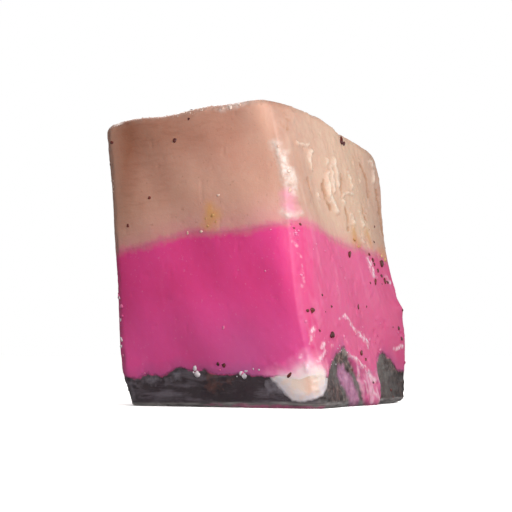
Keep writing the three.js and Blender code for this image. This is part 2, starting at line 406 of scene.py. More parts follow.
def worn_round(u, v, height):
    """How far handling wore back the ridge between the front and right walls: x, y, z in mm."""
    along, inward = corner_gaps(u, v)
    near = np.exp(-((along / RIDGE_WEAR_RADIUS) ** 2) - (inward / RIDGE_WEAR_RADIUS) ** 2)
    depth = RIDGE_WEAR * ridge_side(u, v, height) * near
    return depth[:, None] * np.array([-0.7, 0.7, 0])


skin += worn_round(skin_u, skin_v, height)
skin[:, 2] = np.maximum(skin[:, 2], 0)

# The base's own relief: a brittle, uneven break.
own = on_wall * ease(over_base, 0.0, -0.5) * outside_fold
brittle = 0.06 * lumps(skin, 0.9) - 0.10 * np.abs(lumps(skin, 2.2)) + 0.07 * on_right * lumps(skin, 0.45)
skin += facing * (own * ease(height, 0, 0.5) * brittle)[:, None]

# Where the cream fold and the pink drip stand proud of the chocolate.
crumbly = ease(folded_cream, -2.6, -0.6) * ease(over_base, 0.0, 0.6)
crumbly = 0.09 * crumbly * np.maximum(lumps(skin, 0.7) + 0.6 * lumps(skin, 0.35), -0.2)
run = 0.32 * ease(dripping, -0.1, 0.5) * ease(height, 9.0, 4.0)
run *= 1 + 0.35 * lumps(slanted, 0.6, (1, 1, 4))
skin += facing * (0.20 * ease(folded_cream, -0.2, 0.9) + crumbly + run)[:, None]

# Pale paste that the knife smeared on the ridge between the walls, and in thin lines on the right wall,
# with one painted white glint on the ridge: strokes of points (x, y, z, radius), mm.
RIDGE_SMEARS_AND_GLINT = (
    ((1.6, -13.3, 33.9, 0.10), (2.8, -13.4, 34.1, 0.28), (4.4, -13.6, 34.3, 0.26),
     (6.2, -13.8, 34.6, 0.12)),
    ((8.9, -13.9, 29.7, 0.26), (9.2, -13.8, 29.2, 0.42), (9.7, -13.7, 28.6, 0.44),
     (10.4, -13.4, 28.7, 0.26)),
    ((9.5, -13.7, 28.8, 0.38), (10.1, -13.5, 27.6, 0.58), (10.4, -13.3, 26.9, 0.54),
     (10.6, -13.2, 25.8, 0.62), (10.8, -13.1, 25.0, 0.54), (10.9, -13.0, 24.1, 0.40)),
    # This stroke, just over the pink's line, is a painted white glint.
    ((10.1, -13.4, 22.0, 0.34), (10.6, -13.2, 21.75, 0.46), (11.2, -12.9, 21.65, 0.42),
     (11.6, -12.3, 21.7, 0.22)),
    ((11.2, -13.0, 19.8, 0.14), (11.3, -13.0, 19.2, 0.19), (11.2, -13.1, 18.7, 0.14),
     (11.6, -12.8, 18.2, 0.16)),
    ((11.7, -12.9, 17.2, 0.16), (11.8, -12.7, 16.9, 0.19)),
    ((11.9, -12.6, 16.0, 0.06), (12.1, -12.5, 14.6, 0.09), (12.3, -12.4, 13.2, 0.05)),
    ((12.9, -11.5, 9.0, 0.26), (13.0, -12.0, 8.2, 0.34), (13.0, -12.3, 7.3, 0.28)),
    ((11.8, -12.8, 6.1, 0.18), (11.7, -12.8, 5.7, 0.20)),
    ((12.4, -12.8, 5.0, 0.26), (12.4, -12.7, 4.3, 0.30)),
)
WALL_SMEARS = (
    ((13.2, -5.3, 10.1, 0.10), (13.1, -3.4, 10.4, 0.20), (13.2, -1.9, 9.6, 0.17), (13.3, -0.2, 8.8, 0.20),
     (13.4, 1.6, 8.0, 0.25), (13.4, 2.5, 7.3, 0.28), (13.5, 2.1, 6.7, 0.20)),
    ((13.7, -3.6, 5.8, 0.18), (13.8, -1.9, 5.2, 0.36), (13.8, 0.0, 4.4, 0.26), (13.9, 1.4, 3.6, 0.36),
     (13.9, 2.9, 3.0, 0.28)),
    ((14.1, 2.0, 2.2, 0.16), (14.2, 2.3, 1.2, 0.16), (13.9, 3.7, 0.3, 0.10)),
    ((14.1, -0.6, 2.6, 0.10), (14.2, 0.4, 1.4, 0.08)),
    ((13.3, -9.6, 7.4, 0.16), (13.4, -10.3, 6.7, 0.18)),
    ((13.4, -7.7, 7.1, 0.14),),
    ((13.4, -9.4, 6.3, 0.14), (13.7, -11.5, 5.4, 0.20)),
    ((13.5, -4.3, 7.6, 0.12), (13.5, -4.1, 7.3, 0.12)),
    ((14.2, 10.4, 6.8, 0.24), (14.3, 11.9, 6.9, 0.26)),
    ((12.8, 10.8, 15.5, 0.18), (12.9, 11.6, 15.1, 0.24)),
    ((12.7, 7.4, 15.4, 0.14), (12.6, 6.4, 16.4, 0.40), (12.5, 6.2, 17.1, 0.34), (12.4, 5.6, 17.7, 0.14)),
)
BEYOND_STROKES = -9.0                  # mm, before a depth is measured


def depth_in_strokes(strokes, weights):
    """How deep each point of the skin lies in strokes, in mm; weights squeeze x, y and z."""
    place = (skin + 0.30 * lumps(skin, 1.4)[:, None]) * weights
    depth = np.full(len(skin), BEYOND_STROKES)
    for stroke in strokes:
        for start, end in zip(stroke, stroke[1:] or stroke):
            a = np.array(start[:3]) * weights
            step = np.array(end[:3]) * weights - a
            along = np.clip((place - a) @ step / max(step @ step, 1e-9), 0, 1)
            away = np.linalg.norm(place - a - along[:, None] * step, axis=1)
            depth = np.maximum(depth, start[3] + (end[3] - start[3]) * along - away)
    return depth


# Patches of the base in strokes of the same kind: pale bloom that is partly painted sheen, brown
# chocolate where the cut tore it, and the peach middle of the cream fold.
PALE_BLOOM_AND_SHEEN = (
    ((-10.5, -12.1, 2.4, 0.35), (-9.9, -12.0, 1.5, 0.35)),
    ((7.8, -12.8, 2.6, 0.10), (8.7, -12.8, 2.3, 0.35), (9.3, -12.8, 1.7, 0.30)),
    ((-8.2, -12.1, 3.0, 0.30), (-4.0, -12.3, 3.3, 0.20)),
)
BROWN_PATCHES = (
    ((0.2, -12.8, 3.6, 0.50), (1.0, -12.8, 2.7, 0.60), (1.9, -12.9, 2.9, 0.30)),
    ((14.0, 10.2, 4.9, 0.50), (14.0, 12.0, 3.8, 0.60), (14.0, 13.0, 2.4, 0.40), (14.1, 12.6, 1.0, 0.40)),
    ((13.6, -7.2, 6.2, 0.60), (13.8, -5.6, 5.2, 0.50), (13.9, -4.4, 4.2, 0.40)),
    ((13.7, -10.8, 3.4, 0.45), (14.0, -9.4, 1.8, 0.75), (14.1, -6.8, 1.0, 0.60)),
)
PEACH_HEART = (((11.7, -12.8, 4.4, 0.5), (12.3, -12.7, 3.3, 0.8), (12.6, -12.7, 2.4, 0.6)),)
RIDGE_WEIGHTS = (0.8, 0.8, 1.0)
WALL_WEIGHTS = (0.3, 0.5, 1.0)         # on the right wall a stroke is twice as wide as its radius
ragged = 0.10 * lumps(skin, 0.6) + 0.08 * lumps(skin, 0.3)
on_ridge = depth_in_strokes(RIDGE_SMEARS_AND_GLINT, RIDGE_WEIGHTS) + ragged
smeared_and_glint = np.maximum(on_ridge, depth_in_strokes(WALL_SMEARS, WALL_WEIGHTS) + 0.8 * ragged)
paste = 0.02 * ease(on_ridge, -0.10, 0.30) + 0.07 * ease(smeared_and_glint, -0.10, 0.20)
skin += facing * (paste * (0.7 + 0.8 * lumps(skin, 0.7) + 0.6 * lumps(skin, 0.35)))[:, None]
skin[:, 2] = np.maximum(skin[:, 2], 0)

# On the hidden walls and on the foot, cream and pink streaks fold in bands 1 to 3 mm wide.
inner_foot = ease(skin[:, 1], -11.2, -8.5) * ease(skin[:, 0], 12.6, 10.5)
hidden = np.maximum(inner_foot, ease(skin[:, 1], 12.2, 13.8))
folded = np.stack([lumps(skin + shift, 8.0) for shift in (5.0, 31.0, 57.0)], -1)
folded += 0.4 * np.stack([lumps(skin + shift, 3.0) for shift in (9.0, 22.0, 43.0)], -1)
stir = lumps(skin + 4.5 * folded, 6.5)
OUT_OF_STREAKS = 20.0                  # mm, takes the walls that show out of these streaks
kept_out = OUT_OF_STREAKS * (1 - hidden)
kept_out += 1.6 * np.maximum(over_base + 0.6 + 0.5 * lumps(skin, 2.2), 0)
other_stir = lumps(skin + 3.5 * folded[:, ::-1] + 37, 5.0)
swelling = 0.45 * lumps(skin + 13, 3.0) + 0.20 * lumps(skin, 0.9)
cream = np.maximum(folded_cream, 0.35 + swelling - 3.5 * np.abs(stir - 0.10) - kept_out)
rosy = np.maximum(dripping, 0.35 - swelling - 3.5 * np.abs(other_stir + 0.05) - kept_out)
less_by_ridge = 0.65 + 0.35 * ease(behind_front, 0.0, 6.0)
# Painted shade on the front wall's pink, low and about 4.5 mm right of the middle.
dusk = np.exp(-(((skin[:, 0] - 4.5) / 4.2) ** 2)) * ease(over_base, 9.5, 1.0)
# What the materials read at each point: shares from 0 to 1, and depths and heights in mm.
traits = {
    "dusk": on_front * dusk,
    "low_haze": on_front * ease(over_base, 11.0, 3.0),
    "over_base": over_base,
    "over_pink": over_pink,
    "edge": ease(edge_gap, 1.3, 0.1) * (1 - 0.7 * at_ridge),
    # Painted glow: the walls turn paler within 4 mm of an upright edge, as if light shone through.
    "thin": on_wall * ease(ridge_gap, 4.0, 0.3),
    "peach": depth_in_strokes(PEACH_HEART, RIDGE_WEIGHTS) + 0.4 * lumps(skin, 1.2),
    # The pale film, partly dried and partly painted sheen: most on the right wall, thinner by the ridge.
    "dry_and_sheen": np.clip(0.10 + 0.75 * on_right * less_by_ridge + 0.55 * on_back + 0.45 * on_top, 0, 1),
    "cream": cream,
    "rosy": rosy,
    "purple": depth_in(PURPLE_FILM),
    "smeared_and_glint": smeared_and_glint,
    # A paler grey strip along the foot's edge: partly worn bloom, partly painted highlight.
    "hem_and_highlight": on_wall * ease(height - 0.015 * skin[:, 0] + 0.10 * lumps(skin, 2.4), 0.60, 0.38),
    # Painted shade: the pink darker toward the front wall's far end.
    "far_end_painted_shade": on_front * ease(skin[:, 0], -6.0, -12.5) * ease(over_base, 2.0, 9.0),
    # Painted shade: darker within 3 mm of an upright edge, and within 10 mm on the right wall.
    "ridge": on_wall * ease(ridge_gap, 3.0 + 7.0 * on_right, 0.0),
    "bloomed_and_sheen": depth_in_strokes(PALE_BLOOM_AND_SHEEN, RIDGE_WEIGHTS) + 0.6 * lumps(skin, 1.0),
    "brownish": depth_in_strokes(BROWN_PATCHES, RIDGE_WEIGHTS) + 0.8 * lumps(skin, 0.8),
    "drag": drag * rough_cut,
}


def linear(hex_colour):
    """An sRGB hex colour as linear red, green, blue and alpha."""
    parts = [int(hex_colour[i : i + 2], 16) / 255 for i in (1, 3, 5)]
    return [p / 12.92 if p <= 0.04045 else ((p + 0.055) / 1.055) ** 2.4 for p in parts] + [1.0]


def add(tree, kind, settings, inputs, out=0):
    """Adds a shader node with its settings and links, and gives back one of its outputs, such as
    2, the value of an Attribute and the colour of a Mix."""
    node = tree.nodes.new("ShaderNode" + kind)
    for name, value in settings.items():
        setattr(node, name, value)
    for name, value in inputs.items():
        if isinstance(value, bpy.types.NodeSocket):
            tree.links.new(value, node.inputs[name])
        else:
            node.inputs[name].default_value = value
    return node.outputs[out] if node.outputs else None


def new_material(name):
    """An empty material, its node tree and, for the patterns, the place on the block in mm."""
    material = bpy.data.materials.new(name)
    material.use_nodes = True
    tree = material.node_tree
    tree.nodes.clear()
    object_place = add(tree, "TexCoord", {}, {}, 3)
    place = add(tree, "VectorMath", {"operation": "SCALE"}, {0: object_place, "Scale": 1 / MM})
    return material, tree, place


def stained(tree, colour, *stains):
    """Lays stains on a colour. Each is a trait or a pattern, the values of it where the stain
    starts and is full, how strong it is there, and its tone."""
    for source, start, full, most, tone in stains:
        if isinstance(source, str):
            source = add(tree, "Attribute", {"attribute_name": source}, {}, 2)
        if isinstance(tone, str):
            tone = linear(tone)
        reach = {"Value": source, "From Min": start, "From Max": full, "To Max": most}
        share = add(tree, "MapRange", {}, reach)
        colour = add(tree, "Mix", {"data_type": "RGBA"}, {0: share, 6: colour, 7: tone}, 2)
    return colour


def share_over(tree, place, trait, blur):
    """How far a point is over a line between layers: 0 below, 1 above, blurred over some mm."""
    ragged = add(tree, "TexNoise", {}, {"Vector": place, "Scale": 1 / 1.2, "Detail": 3.0, "Roughness": 0.6})
    waver = {"Value": ragged, "From Min": 0.3, "From Max": 0.7, "To Min": -0.3, "To Max": 0.3}
    waver = add(tree, "MapRange", {}, waver)
    over = add(tree, "Attribute", {"attribute_name": trait}, {}, 2)
    over = add(tree, "Math", {"operation": "ADD"}, {0: over, 1: waver})
    return add(tree, "MapRange", {}, {"Value": over, "From Min": -blur / 2, "From Max": blur / 2})


# Light sinks about a millimetre into fudge, red light deepest. The IOR is that of thick syrup.
SOFT_BODY = {"Subsurface Weight": 0.25, "Subsurface Radius": (1.0, 0.5, 0.35), "Subsurface Scale": 1.0 * MM}
FUDGE_IOR = 1.44


def close_fudge(tree, place, colour, shine, grain_size, grain_share, grain_height):
    """Ends a fudge's material with its colour, gloss, soft body and a fine grain of so many mm."""
    grain = {"Vector": place, "Scale": 1 / grain_size, "Detail": 3.0, "Roughness": 0.6}
    grain = add(tree, "TexNoise", {}, grain)
    rise = {"Strength": grain_share, "Distance": grain_height * MM, "Height": grain}
    rise = add(tree, "Bump", {}, rise)
    look = {"Base Color": colour, "Roughness": shine, "IOR": FUDGE_IOR, "Normal": rise}
    surface = add(tree, "BsdfPrincipled", {}, look | SOFT_BODY)
    add(tree, "OutputMaterial", {}, {"Surface": surface})


# The pink layer's tones, which the base takes on over its upper line.
PINK = "#E03E87"
DRY_PINK_AND_SHEEN = "#DE6890"

# Marbled chocolate fudge: nearly black and satin, drawn out in slate smears that are partly bloomed
# cocoa fat and partly painted sheen, browner where the cut tore it. Stirred streaks have clean, curving
# sides.
chocolate, tree, place = new_material("chocolate_fudge_marbled")
edge, dry_and_sheen, bloomed_and_sheen, brownish, ridge, drag_line = (
    add(tree, "Attribute", {"attribute_name": trait}, {}, 2)
    for trait in ("edge", "dry_and_sheen", "bloomed_and_sheen", "brownish", "ridge", "drag")
)
flat_place = add(tree, "VectorMath", {"operation": "MULTIPLY"}, {0: place, 1: (0.22, 0.6, 1.0)})
smears = {"Vector": flat_place, "Scale": 1 / 0.9, "Detail": 4.0, "Roughness": 0.6}
smears = add(tree, "TexNoise", {}, smears)
smears = add(tree, "MapRange", {}, {"Value": smears, "From Min": 0.46, "From Max": 0.72})
speckle = add(tree, "TexNoise", {}, {"Vector": place, "Scale": 1 / 0.5, "Detail": 2.0})
worn = add(tree, "Math", {"operation": "MULTIPLY"}, {0: edge, 1: speckle})
# The slate bloom, in smears and along the edges, is partly painted sheen.
bloom_and_sheen = add(tree, "Math", {"operation": "MULTIPLY_ADD", "use_clamp": True}, {0: worn, 1: 0.5, 2: smears})
torn_cloud = {"Vector": place, "Scale": 1 / 1.4, "Detail": 4.0, "Roughness": 0.65}
torn_cloud = add(tree, "TexNoise", {}, torn_cloud)
brown = stained(tree, linear("#564340"), (torn_cloud, 0.38, 0.62, 1.0, "#77706A"))
fleck = add(tree, "MapRange", {}, {"Value": speckle, "From Min": 0.66, "From Max": 0.74})
fleck = add(tree, "Math", {"operation": "MULTIPLY"}, {0: fleck, 1: dry_and_sheen})
bloom_and_sheen_patch, brown_patch = (
    add(tree, "Math", {"operation": "MULTIPLY_ADD"}, {0: speckle, 1: 2.0, 2: patch})
    for patch in (bloomed_and_sheen, brownish)
)
fine = add(tree, "TexNoise", {}, {"Vector": place, "Scale": 1 / 0.75, "Detail": 3.0})
torn = add(tree, "MapRange", {}, {"Value": brownish, "From Min": -1.2, "From Max": 0.0})
torn = add(tree, "Math", {"operation": "MULTIPLY"}, {0: torn, 1: dry_and_sheen})
torn_bits = []
for start, full in ((0.52, 0.43), (0.53, 0.62)):
    bits = add(tree, "MapRange", {}, {"Value": fine, "From Min": start, "From Max": full})
    torn_bits.append(add(tree, "Math", {"operation": "MULTIPLY"}, {0: bits, 1: torn}))
dark_bits, light_bits = torn_bits
# Painted shade: the base is darker on the right wall by its upright edges.
shaded = add(tree, "Math", {"operation": "MULTIPLY"}, {0: ridge, 1: dry_and_sheen})
thin_place = add(tree, "VectorMath", {"operation": "MULTIPLY"}, {0: place, 1: (0.12, 0.12, 1.0)})
lines = add(tree, "TexNoise", {}, {"Vector": thin_place, "Scale": 1 / 0.28, "Detail": 3.0})
# The strip's grey, with fine lines, is partly painted highlight.
rim = stained(tree, linear("#625A5B"), (lines, 0.35, 0.68, 1.0, "#A39B99"))
colour = stained(
    tree,
    linear("#34272F"),
    (bloom_and_sheen, 0, 1, 1.0, "#6F656E"),
    # Browner and greyer on the rough walls, partly painted sheen.
    (dry_and_sheen, 0, 1, 1.0, brown),
    (fleck, 0, 1, 0.35, "#CDBDB8"),
    (bloom_and_sheen_patch, 0.6, 1.5, 0.55, "#8C838B"),
    (brown_patch, 0.6, 1.5, 0.80, "#6E4640"),
    (dark_bits, 0, 1, 0.95, "#241718"),
    (light_bits, 0, 1, 0.85, "#A68C82"),
    (shaded, 0, 1, 1.0, "#2E2526"),
    ("hem_and_highlight", 0, 1, 1.0, rim),
)
wobble = add(tree, "TexNoise", {}, {"Vector": place, "Scale": 1 / 0.8, "Detail": 3.0})
wobble = {"Value": wobble, "From Min": 0.3, "From Max": 0.7, "To Min": -1.0, "To Max": 1.0}
wobble = add(tree, "MapRange", {}, wobble)
for trait, sharpness, waver, thin, thick, most in (
    ("purple", 0.30, 0.25, "#A9668C", "#CC8FB0", 0.95),
    ("rosy", 0.20, 0.15, "#CC5789", "#E2719D", 0.97),
    ("cream", 0.16, 0.08, "#E3D6DA", "#EBD3C7", 1.0),
):
    inside = add(tree, "Attribute", {"attribute_name": trait}, {}, 2)
    body = add(tree, "Math", {"operation": "MULTIPLY_ADD"}, {0: wobble, 1: 0.6, 2: inside})
    streak = stained(tree, linear(thin), (body, 0.2, 1.3, 1.0, thick))
    inside = add(tree, "Math", {"operation": "MULTIPLY_ADD"}, {0: wobble, 1: waver, 2: inside})
    share = {"Value": inside, "From Min": -sharpness, "From Max": sharpness, "To Max": most}
    share = add(tree, "MapRange", {}, share)
    colour = stained(tree, colour, (share, 0, 1, 1.0, streak))
    if trait == "rosy":
        run_lines = {"Value": drag_line, "From Min": 0.05, "From Max": 0.45, "To Max": 0.7}
        run_lines = add(tree, "MapRange", {}, run_lines)
        run_lines = add(tree, "Math", {"operation": "MULTIPLY"}, {0: run_lines, 1: share})
        colour = stained(tree, colour, (run_lines, 0, 1, 1.0, "#F6B9CF"))
above = stained(tree, linear(PINK), (dry_and_sheen, 0, 1, 1.0, DRY_PINK_AND_SHEEN), (inside, -0.2, 1.2, 0.95, "#F9E3DA"))
colour = stained(
    tree,
    colour,
    ("peach", -0.5, 0.8, 0.8, "#EBB89F"),
    (share_over(tree, place, "over_base", 0.35), 0, 1, 1.0, above),
    ("smeared_and_glint", -0.15, 0.15, 0.8, "#F8CFDB"),
)
shine = add(tree, "MapRange", {}, {"Value": bloom_and_sheen, "To Min": 0.34, "To Max": 0.52})
shine = add(tree, "Math", {"operation": "MULTIPLY_ADD"}, {0: dry_and_sheen, 1: 0.15, 2: shine})
shine = add(tree, "Math", {"operation": "MULTIPLY_ADD"}, {0: share, 1: -0.12, 2: shine})
close_fudge(tree, place, colour, shine, 0.22, 0.5, 0.04)


def meeting_surface(ring, line, first):
    """Points and upward faces inside a ring of the skin, where two layers meet."""
    points, faces = [], []
    outer = ring * RING + np.arange(RING)
    # Each inner ring: its size as a share of the block's, and how many cells of the skin to one.
    for size, coarser in ((0.965, 1), (0.925, 2), (0.85, 4), (0.70, 8), (0.45, 8), (0.20, 8)):
        u, v = rim_u[::coarser] * size, rim_v[::coarser] * size
        within = first + sum(map(len, points)) + np.arange(len(u))
        level = line(u, v)
        worn = worn_round(u, v, level * top_height(u, v))
        points.append(block_point(u, v, level) - off_centre + worn)
        next_within = np.roll(within, -1)
        if len(outer) == len(within):
            next_outer = np.roll(outer, -1)
            faces.append(np.stack([outer, next_outer, next_within], -1))
            faces.append(np.stack([outer, next_within, within], -1))
        else:
            even, odd = outer[::2], outer[1::2]
            faces.append(np.stack([even, odd, within], -1))
            faces.append(np.stack([odd, np.roll(even, -1), next_within], -1))
            faces.append(np.stack([within, odd, next_within], -1))
        outer = within
    middle = first + sum(map(len, points))
    zero = np.zeros(1)
    points.append(block_point(zero, zero, line(zero, zero)) - off_centre)
    faces.append(np.stack([outer, np.roll(outer, -1), np.full(len(outer), middle)], -1))
    return np.concatenate(points), np.concatenate(faces)


def piece_of(name, points, faces, material):
    """An object made of points in mm and arrays of faces, smooth, on the block's one body."""
    mesh = bpy.data.meshes.new(name)
    corners = np.concatenate([part.ravel() for part in faces])
    lengths = np.concatenate([np.full(len(part), part.shape[1]) for part in faces])
    mesh.vertices.add(len(points))
    mesh.vertices.foreach_set("co", (points * MM).astype(np.float32).ravel())
    mesh.loops.add(len(corners))
    mesh.loops.foreach_set("vertex_index", corners.astype(np.int32))
    mesh.polygons.add(len(lengths))
    mesh.polygons.foreach_set("loop_start", np.append(0, np.cumsum(lengths)[:-1]).astype(np.int32))
    mesh.update(calc_edges=True)
    mesh.polygons.foreach_set("use_smooth", np.ones(len(lengths), bool))
    mesh.materials.append(material)
    piece = bpy.data.objects.new(name, mesh)
    bpy.context.scene.collection.objects.link(piece)
    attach(piece, "root")
    return piece


def layer_of(name, cells, meetings, material):
    """One layer, closed: its cells of the skin and the surfaces where it meets its neighbours."""
    points, faces, first = [skin], [cells], len(skin)
    on_line = np.zeros(len(skin), bool)
    for ring, line, way in meetings:
        more_points, more_faces = meeting_surface(ring, line, first)
        points.append(more_points)
        faces.append(more_faces[:, ::way])
        first += len(more_points)
        on_line[ring * RING : (ring + 1) * RING] = True
    points = np.concatenate(points)
    used = np.unique(np.concatenate([part.ravel() for part in faces]))
    renumber = np.zeros(len(points), int)
    renumber[used] = np.arange(len(used))
    piece = piece_of(name, points[used], [renumber[part] for part in faces], material)
    inner = np.zeros(len(points) - len(skin))
    for trait, values in traits.items():
        attribute = piece.data.attributes.new(trait, "FLOAT", "POINT")
        attribute.data.foreach_set("value", np.append(values, inner)[used].astype(np.float32))
    # The layer's upper and lower line is a sharp edge, so the hidden surface doesn't shade it.
    ends = np.zeros(len(piece.data.edges) * 2, np.int32)
    piece.data.edges.foreach_get("vertices", ends)
    sharp = np.append(on_line, inner > 0)[used][ends.reshape(-1, 2)].all(1)
    piece.data.edges.foreach_set("use_edge_sharp", sharp)
    return piece


base_cells = np.concatenate([foot_cells, wall_cells(0, marbled_ring)])
base = layer_of("marbled_base", base_cells, [(marbled_ring, marbled_line, 1)], chocolate)
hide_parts("marbled_layer")

# ==========================================================================================
# The pink layer: white fudge coloured strong pink, poured on the base while that was soft.
# It cuts clean and a little translucent, paler where the cut dried and in painted sheen, and holds
# fine sugar.
# ==========================================================================================


def dried_film_and_sheen(tree, place, dry_and_sheen):
    """How thick the dull, pale coat on a rough cut is, partly air dried and partly painted sheen, in
    patches about 1.6 mm wide.
    """
    film_and_sheen = {"Vector": place, "Scale": 1 / 1.6, "Detail": 4.0, "Roughness": 0.7}
    film_and_sheen = add(tree, "TexNoise", {}, film_and_sheen)
    film_and_sheen = {"Value": film_and_sheen, "From Min": 0.25, "From Max": 0.75, "To Min": 0.35, "To Max": 0.95}
    film_and_sheen = add(tree, "MapRange", {}, film_and_sheen)
    return add(tree, "Math", {"operation": "MULTIPLY"}, {0: film_and_sheen, 1: dry_and_sheen})


CARAMEL = "#CF9184"                    # what the pink turns to at its upper line
MILK = "#FBE6DE"                       # the cream fold's tone where it reaches into the pink

# Pink fudge, cut: dense and satin, deep pink where light sinks in, with a painted glow along the thin
# edges. A duller, paler film on the rough walls is partly air dried and partly painted sheen, and the
# base's colours bleed up into it.
pink, tree, place = new_material("pink_fudge_cut")
edge, dry_and_sheen, stirred, drip, paste_and_glint_depth, shaded, base_gap = (
    add(tree, "Attribute", {"attribute_name": trait}, {}, 2)
    for trait in ("edge", "dry_and_sheen", "cream", "rosy", "smeared_and_glint", "dusk", "over_base")
)
cloud = add(tree, "TexNoise", {}, {"Vector": place, "Scale": 1 / 7.0, "Detail": 3.0, "Roughness": 0.55})
# Sugar grains are about 0.1 mm; they are drawn at 0.3 mm so that they show.
sugar = add(tree, "TexNoise", {}, {"Vector": place, "Scale": 1 / 0.30, "Detail": 2.0})
patchy = add(tree, "TexNoise", {}, {"Vector": place, "Scale": 1 / 1.3, "Detail": 3.0})
patchy = add(tree, "MapRange", {}, {"Value": patchy, "From Min": 0.3, "From Max": 0.65, "To Max": 0.45})
# Paler along the edges: partly rubbed wear, partly painted highlight.
worn = add(tree, "Math", {"operation": "MULTIPLY"}, {0: edge, 1: patchy})
film_and_sheen = dried_film_and_sheen(tree, place, dry_and_sheen)
milky = add(tree, "Math", {"operation": "MULTIPLY_ADD"}, {0: patchy, 1: 1.2, 2: stirred})
milk = stained(tree, linear("#F7A9C4"), (milky, 0.2, 1.7, 1.0, MILK))
milky_share = add(tree, "MapRange", {}, {"Value": milky, "From Min": -0.7, "From Max": 1.2, "To Max": 0.95})
drip_share = add(tree, "MapRange", {}, {"Value": drip, "From Min": -0.3, "From Max": 0.1})
# Painted shade: the pink dims toward the base's line, and more in the low patch on the front.
dim = add(tree, "Math", {"operation": "MULTIPLY_ADD"}, {0: patchy, 1: -1.0, 2: base_gap})
dim = add(tree, "MapRange", {}, {"Value": dim, "From Min": 1.3, "From Max": -0.2, "To Max": 0.50})
dim = add(tree, "Math", {"operation": "MULTIPLY_ADD"}, {0: shaded, 1: 0.50, 2: dim})
for streak_share in (milky_share, drip_share):
    dim = add(tree, "Math", {"operation": "SUBTRACT", "use_clamp": True}, {0: dim, 1: streak_share})
mottle = add(tree, "TexNoise", {}, {"Vector": place, "Scale": 1 / 0.5, "Detail": 3.0})
mottle = add(tree, "MapRange", {}, {"Value": mottle, "From Min": 0.42, "From Max": 0.58, "To Min": 0.12})
# Pale paste, and the painted white glint on the ridge.
smear_and_glint = {"Value": paste_and_glint_depth, "From Min": -0.14, "From Max": 0.16, "To Max": 0.9}
smear_and_glint = add(tree, "MapRange", {}, smear_and_glint)
smear_and_glint = add(tree, "Math", {"operation": "MULTIPLY"}, {0: smear_and_glint, 1: mottle})
colour = stained(
    tree,
    linear("#E33B84"),
    (cloud, 0.35, 0.65, 1.0, "#EC428F"),
    # Painted glow by the upright edges.
    ("thin", 0, 1, 0.60, "#F84F95"),
    # Painted shade toward the front wall's far end.
    ("far_end_painted_shade", 0, 1, 0.45, "#BA2068"),
    (sugar, 0.66, 0.76, 0.30, "#F3A6C4"),
    (worn, 0, 1, 1.0, "#F06FA4"),
    # The pale film, partly painted sheen.
    (film_and_sheen, 0, 1, 1.0, DRY_PINK_AND_SHEEN),
    # Painted shade by the upright edges.
    ("ridge", 0, 1, 0.50, "#CB3172"),
    ("drag", 0.1, 0.9, 0.14, "#F8B4CC"),
    (milky_share, 0, 1, 1.0, milk),
    ("low_haze", 0, 1, 0.14, "#DC7AC4"),
    (dim, 0, 1, 1.0, "#B4578C"),
)
below = stained(tree, linear("#3A2B31"), (milky, 0.2, 1.7, 1.0, MILK), (drip_share, 0, 1, 1.0, "#E582A8"))
colour = stained(
    tree,
    below,
    (share_over(tree, place, "over_base", 0.45), 0, 1, 1.0, colour),
    (share_over(tree, place, "over_pink", 1.4), 0, 1, 1.0, CARAMEL),
    (smear_and_glint, 0, 1, 1.0, "#FBDDE5"),
)
shine = add(tree, "MapRange", {}, {"Value": film_and_sheen, "To Min": 0.42, "To Max": 0.62})
shine = add(tree, "Math", {"operation": "MULTIPLY_ADD"}, {0: edge, 1: 0.14, 2: shine})
close_fudge(tree, place, colour, shine, 0.25, 0.4, 0.03)

meetings = [(marbled_ring, marbled_line, -1), (caramel_ring, caramel_line, 1)]
middle_layer = layer_of("pink_layer_cut", wall_cells(marbled_ring, caramel_ring), meetings, pink)
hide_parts("pink_layer")

# ==========================================================================================
# The caramel layer: fudge cooked until the sugar browned, poured last, so its top set open.
# The knife tore flakes up on the right wall and smeared fat along the front right edge, where a white
# glint is painted.
# ==========================================================================================

